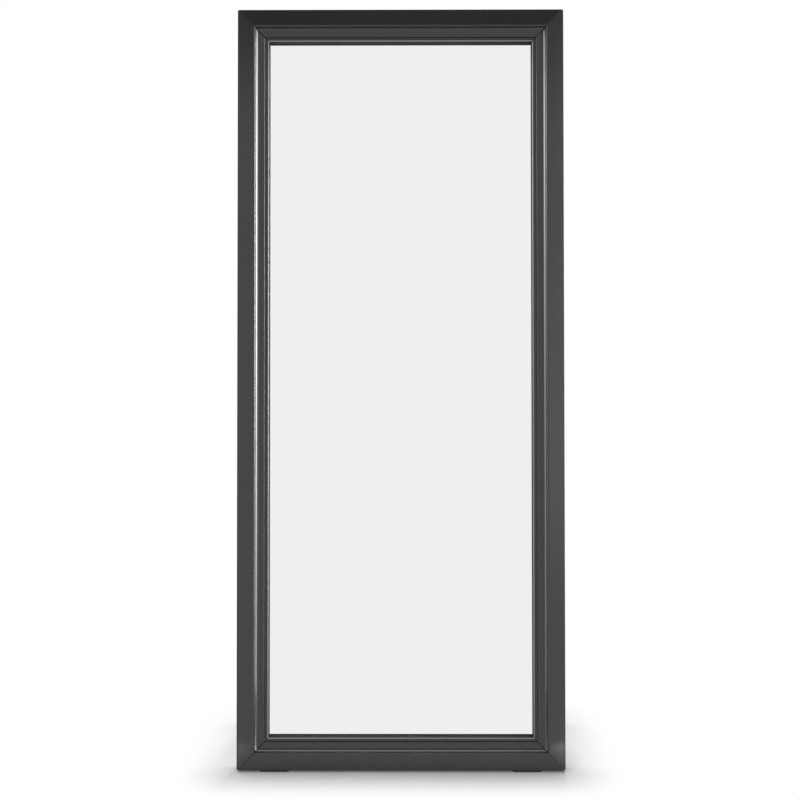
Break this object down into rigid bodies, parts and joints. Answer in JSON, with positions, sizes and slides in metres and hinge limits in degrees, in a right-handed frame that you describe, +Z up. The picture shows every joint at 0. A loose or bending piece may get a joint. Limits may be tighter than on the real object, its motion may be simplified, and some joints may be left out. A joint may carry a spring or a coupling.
{
  "type": "standing mirror",
  "caption": "Full-length rectangular floor mirror in a mitred, moulded frame, leaning back on a folding easel stand.",
  "frame": {"origin": "on the floor, below the middle of the overall box", "axes": "+Z up, the mirror faces -Y and leans back towards +Y, +X is to the right seen from the front"},
  "size_m": [0.787, 0.3535, 1.8216],
  "materials": {
    "frame_lacquer": "black satin-gloss lacquer",
    "stand_lacquer": "black satin lacquer",
    "beech": "bare compressed beech",
    "mirror": "polished, silvered on the back",
    "foam_tape": "matte closed-cell foam",
    "back_board": "brown hardboard",
    "zinc_steel": "bright zinc plate",
    "black_steel": "black powder coat",
    "black_screw": "black oxide",
    "rubber": "matte",
    "nylon": "satin natural nylon"
  },
  "bodies": {
    "mirror": {"bottom_rail": "frame_lacquer", "top_rail": "frame_lacquer", "left_stile": "frame_lacquer", "right_stile": "frame_lacquer", "mitre_biscuits": "beech", "mirror_glass": "mirror", "glazing_tape": "foam_tape", "back_panel": "back_board", "panel_clips": "zinc_steel", "panel_clip_screws": "zinc_steel", "corner_braces": "zinc_steel", "corner_brace_screws": "zinc_steel", "keyhole_plates": "zinc_steel", "keyhole_plate_screws": "zinc_steel", "floor_pads": "rubber", "wall_bumpers": "rubber", "left_hinge_bracket": "black_steel", "right_hinge_bracket": "black_steel", "hinge_bracket_screws": "black_screw", "pivot_bolts": "black_screw", "pivot_nuts": "zinc_steel", "pivot_washers": "nylon"},
    "stand": {"left_leg": "stand_lacquer", "right_leg": "stand_lacquer", "left_leg_tip": "rubber", "right_leg_tip": "rubber", "pivot_bushes": "nylon", "upper_crossbar": "stand_lacquer", "lower_crossbar": "stand_lacquer", "crossbar_screws": "black_screw"}
  },
  "joints": [
    {"name": "stand_fold", "type": "hinge", "parent": "mirror", "child": "stand", "pos_m": [0, 0.02446, 1.14044], "axis": [-1, 0, 0], "range_deg": [0, 14]}
  ]
}
